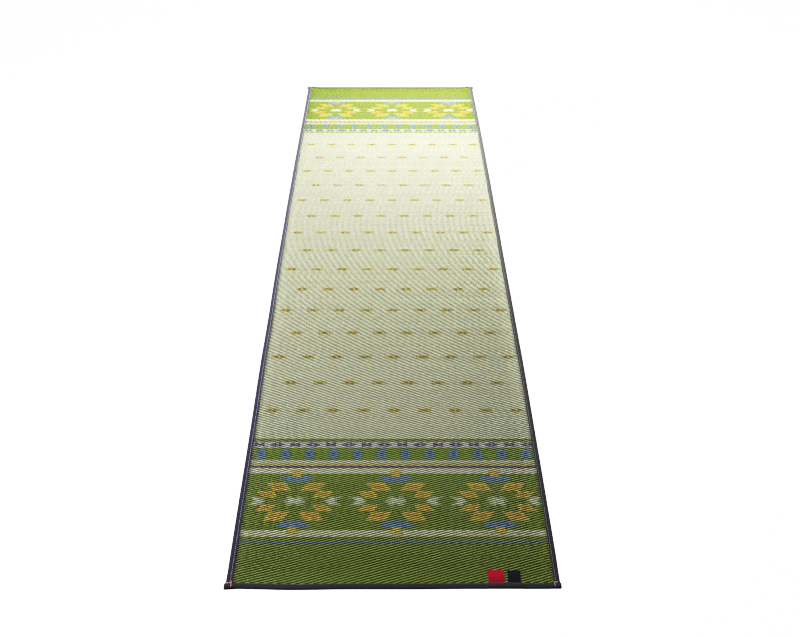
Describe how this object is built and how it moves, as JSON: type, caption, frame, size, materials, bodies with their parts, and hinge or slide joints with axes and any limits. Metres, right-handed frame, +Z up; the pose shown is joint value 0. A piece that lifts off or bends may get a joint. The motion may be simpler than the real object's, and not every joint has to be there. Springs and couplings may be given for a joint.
{
  "type": "tatami mat",
  "caption": "Flat woven rush floor mat with a twill weave, woven green and cream bands, dark folded cloth binding on all edges and two small sewn-in labels.",
  "frame": {"origin": "on the floor, under the middle of the mat", "axes": "+Y along the mat's length, from the end with the labels to the other end; +X to the right across its width; +Z up out of the woven face"},
  "size_m": [0.6002, 1.8012, 0.0071],
  "materials": {
    "woven_rush": "satin",
    "binding_tape": "matte",
    "red_label": "matte",
    "dark_label": "matte"
  },
  "bodies": {
    "root": {"mat_sheet": "woven_rush", "binding_left": "binding_tape", "binding_right": "binding_tape", "binding_near": "binding_tape", "binding_far": "binding_tape", "label_red": "red_label", "label_dark": "dark_label"}
  },
  "joints": []
}
